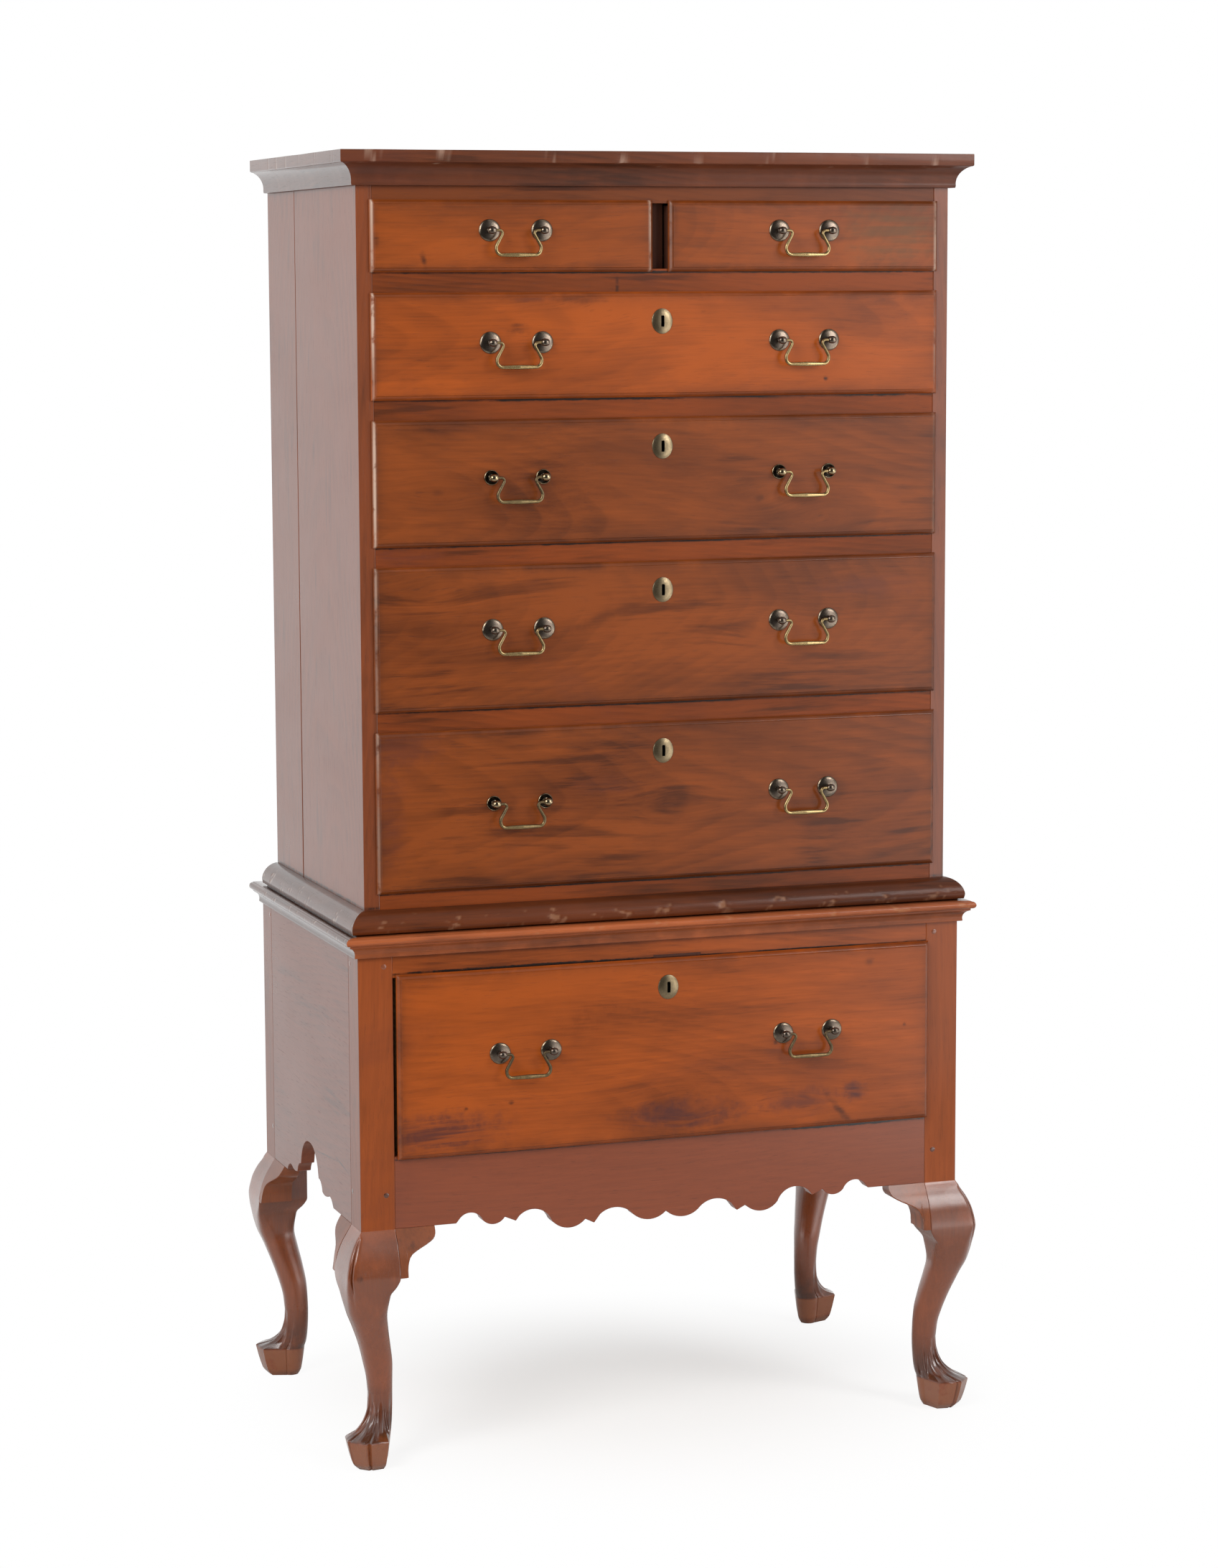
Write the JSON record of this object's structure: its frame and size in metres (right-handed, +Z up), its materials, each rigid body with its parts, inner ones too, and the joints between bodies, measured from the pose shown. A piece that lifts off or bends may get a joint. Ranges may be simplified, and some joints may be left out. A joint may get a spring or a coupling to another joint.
{
  "type": "highboy",
  "caption": "Flat-topped chest of drawers on a low drawer case with scalloped skirts, cabriole legs, three-toed feet, and swinging brass bail handles.",
  "frame": {"origin": "on the floor under the middle of the whole piece", "axes": "+Z up, the drawers face -Y, +X to the right of someone facing the drawers"},
  "size_m": [0.941, 0.5782, 1.8008],
  "materials": {
    "case_wood": "aged shellac",
    "side_wood": "aged shellac",
    "drawer_front_wood": "aged shellac",
    "secondary_wood": "bare",
    "brass": "tarnished"
  },
  "bodies": {
    "case": {"base_moulding": "case_wood", "bottom_rail": "case_wood", "cornice": "case_wood", "divider": "secondary_wood", "drawer_rails": "case_wood", "frame_pegs": "case_wood", "front_skirt": "case_wood", "knee_brackets": "case_wood", "leg_front_left": "case_wood", "leg_front_right": "case_wood", "leg_rear_left": "case_wood", "leg_rear_right": "case_wood", "lower_back": "secondary_wood", "lower_dust_board": "secondary_wood", "lower_runners": "secondary_wood", "lower_side_left": "side_wood", "lower_side_right": "side_wood", "lower_top_rail": "case_wood", "top_rail": "case_wood", "upper_back": "secondary_wood", "upper_bottom": "secondary_wood", "upper_runners": "secondary_wood", "upper_side_left": "side_wood", "upper_side_right": "side_wood", "upper_top": "case_wood", "waist_moulding": "case_wood"},
    "drawer_1": {"drawer_1_box": "secondary_wood", "drawer_1_brasses": "brass", "drawer_1_front": "drawer_front_wood"},
    "drawer_2": {"drawer_2_box": "secondary_wood", "drawer_2_brasses": "brass", "drawer_2_front": "drawer_front_wood"},
    "drawer_3": {"drawer_3_box": "secondary_wood", "drawer_3_brasses": "brass", "drawer_3_front": "drawer_front_wood"},
    "drawer_4": {"drawer_4_box": "secondary_wood", "drawer_4_brasses": "brass", "drawer_4_front": "drawer_front_wood"},
    "drawer_5_left": {"drawer_5_left_box": "secondary_wood", "drawer_5_left_brasses": "brass", "drawer_5_left_front": "drawer_front_wood"},
    "drawer_5_right": {"drawer_5_right_box": "secondary_wood", "drawer_5_right_brasses": "brass", "drawer_5_right_front": "drawer_front_wood"},
    "drawer_lower": {"drawer_lower_box": "secondary_wood", "drawer_lower_brasses": "brass", "drawer_lower_front": "drawer_front_wood"},
    "drawer_1_bail_left": {"drawer_1_bail_left": "brass"},
    "drawer_1_bail_right": {"drawer_1_bail_right": "brass"},
    "drawer_2_bail_left": {"drawer_2_bail_left": "brass"},
    "drawer_2_bail_right": {"drawer_2_bail_right": "brass"},
    "drawer_3_bail_left": {"drawer_3_bail_left": "brass"},
    "drawer_3_bail_right": {"drawer_3_bail_right": "brass"},
    "drawer_4_bail_left": {"drawer_4_bail_left": "brass"},
    "drawer_4_bail_right": {"drawer_4_bail_right": "brass"},
    "drawer_5_left_bail": {"drawer_5_left_bail": "brass"},
    "drawer_5_right_bail": {"drawer_5_right_bail": "brass"},
    "drawer_lower_bail_left": {"drawer_lower_bail_left": "brass"},
    "drawer_lower_bail_right": {"drawer_lower_bail_right": "brass"}
  },
  "joints": [
    {"name": "drawer_1_slide", "type": "slide", "parent": "case", "child": "drawer_1", "axis": [0, -1, 0], "range_m": [0, 0.34]},
    {"name": "drawer_1_bail_left_swing", "type": "hinge", "parent": "drawer_1", "child": "drawer_1_bail_left", "pos_m": [-0.2095, -0.26475, 0.9186], "axis": [-1, 0, 0], "range_deg": [-16, 196]},
    {"name": "drawer_1_bail_right_swing", "type": "hinge", "parent": "drawer_1", "child": "drawer_1_bail_right", "pos_m": [0.2095, -0.26475, 0.9186], "axis": [-1, 0, 0], "range_deg": [-16, 196]},
    {"name": "drawer_2_slide", "type": "slide", "parent": "case", "child": "drawer_2", "axis": [0, -1, 0], "range_m": [0, 0.34]},
    {"name": "drawer_2_bail_left_swing", "type": "hinge", "parent": "drawer_2", "child": "drawer_2_bail_left", "pos_m": [-0.2095, -0.26475, 1.15685], "axis": [-1, 0, 0], "range_deg": [-16, 196]},
    {"name": "drawer_2_bail_right_swing", "type": "hinge", "parent": "drawer_2", "child": "drawer_2_bail_right", "pos_m": [0.2095, -0.26475, 1.15685], "axis": [-1, 0, 0], "range_deg": [-16, 196]},
    {"name": "drawer_3_slide", "type": "slide", "parent": "case", "child": "drawer_3", "axis": [0, -1, 0], "range_m": [0, 0.34]},
    {"name": "drawer_3_bail_left_swing", "type": "hinge", "parent": "drawer_3", "child": "drawer_3_bail_left", "pos_m": [-0.2095, -0.26475, 1.36355], "axis": [-1, 0, 0], "range_deg": [-16, 196]},
    {"name": "drawer_3_bail_right_swing", "type": "hinge", "parent": "drawer_3", "child": "drawer_3_bail_right", "pos_m": [0.2095, -0.26475, 1.36355], "axis": [-1, 0, 0], "range_deg": [-16, 196]},
    {"name": "drawer_4_slide", "type": "slide", "parent": "case", "child": "drawer_4", "axis": [0, -1, 0], "range_m": [0, 0.34]},
    {"name": "drawer_4_bail_left_swing", "type": "hinge", "parent": "drawer_4", "child": "drawer_4_bail_left", "pos_m": [-0.2095, -0.26475, 1.54505], "axis": [-1, 0, 0], "range_deg": [-16, 196]},
    {"name": "drawer_4_bail_right_swing", "type": "hinge", "parent": "drawer_4", "child": "drawer_4_bail_right", "pos_m": [0.2095, -0.26475, 1.54505], "axis": [-1, 0, 0], "range_deg": [-16, 196]},
    {"name": "drawer_5_left_slide", "type": "slide", "parent": "case", "child": "drawer_5_left", "axis": [0, -1, 0], "range_m": [0, 0.34]},
    {"name": "drawer_5_left_bail_swing", "type": "hinge", "parent": "drawer_5_left", "child": "drawer_5_left_bail", "pos_m": [-0.2095, -0.26475, 1.69505], "axis": [-1, 0, 0], "range_deg": [-16, 196]},
    {"name": "drawer_5_right_slide", "type": "slide", "parent": "case", "child": "drawer_5_right", "axis": [0, -1, 0], "range_m": [0, 0.34]},
    {"name": "drawer_5_right_bail_swing", "type": "hinge", "parent": "drawer_5_right", "child": "drawer_5_right_bail", "pos_m": [0.2095, -0.26475, 1.69505], "axis": [-1, 0, 0], "range_deg": [-16, 196]},
    {"name": "drawer_lower_slide", "type": "slide", "parent": "case", "child": "drawer_lower", "axis": [0, -1, 0], "range_m": [-0.002, 0.38]},
    {"name": "drawer_lower_bail_left_swing", "type": "hinge", "parent": "drawer_lower", "child": "drawer_lower_bail_left", "pos_m": [-0.2095, -0.28375, 0.5738], "axis": [-1, 0, 0], "range_deg": [-16, 196]},
    {"name": "drawer_lower_bail_right_swing", "type": "hinge", "parent": "drawer_lower", "child": "drawer_lower_bail_right", "pos_m": [0.2095, -0.28375, 0.5738], "axis": [-1, 0, 0], "range_deg": [-16, 196]}
  ]
}
